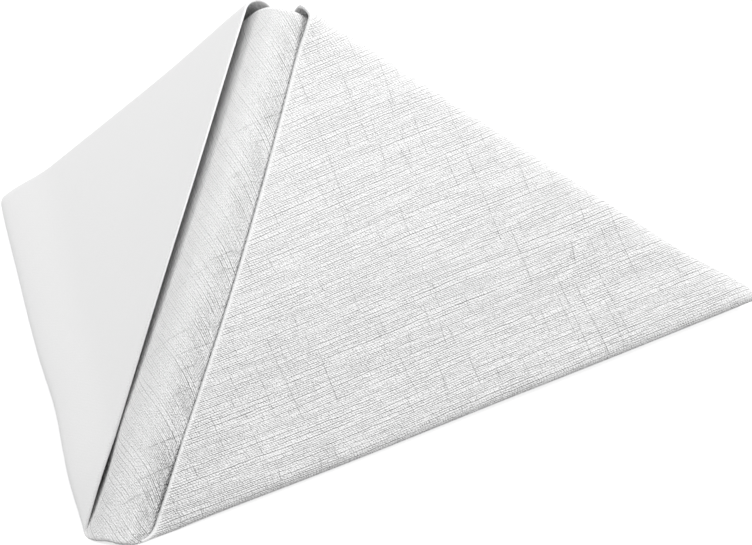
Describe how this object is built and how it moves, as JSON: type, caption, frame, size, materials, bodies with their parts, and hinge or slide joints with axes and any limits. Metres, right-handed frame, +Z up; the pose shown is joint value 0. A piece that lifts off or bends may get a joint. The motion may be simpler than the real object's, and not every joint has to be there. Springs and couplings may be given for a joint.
{
  "type": "paper napkin",
  "caption": "Square paper napkin folded into a standing pyramid, with a rounded ridge strip between two folded flaps and a hollow behind.",
  "frame": {"origin": "on the surface it stands on, under the centre of its bounding box", "axes": "+Z up, -Y to the front where the ridge comes down to the ground, +X to the right seen from the front"},
  "size_m": [0.181, 0.1778, 0.0865],
  "materials": {
    "paper": "matt white, linen-embossed"
  },
  "bodies": {
    "root": {"napkin": "paper"}
  },
  "joints": []
}
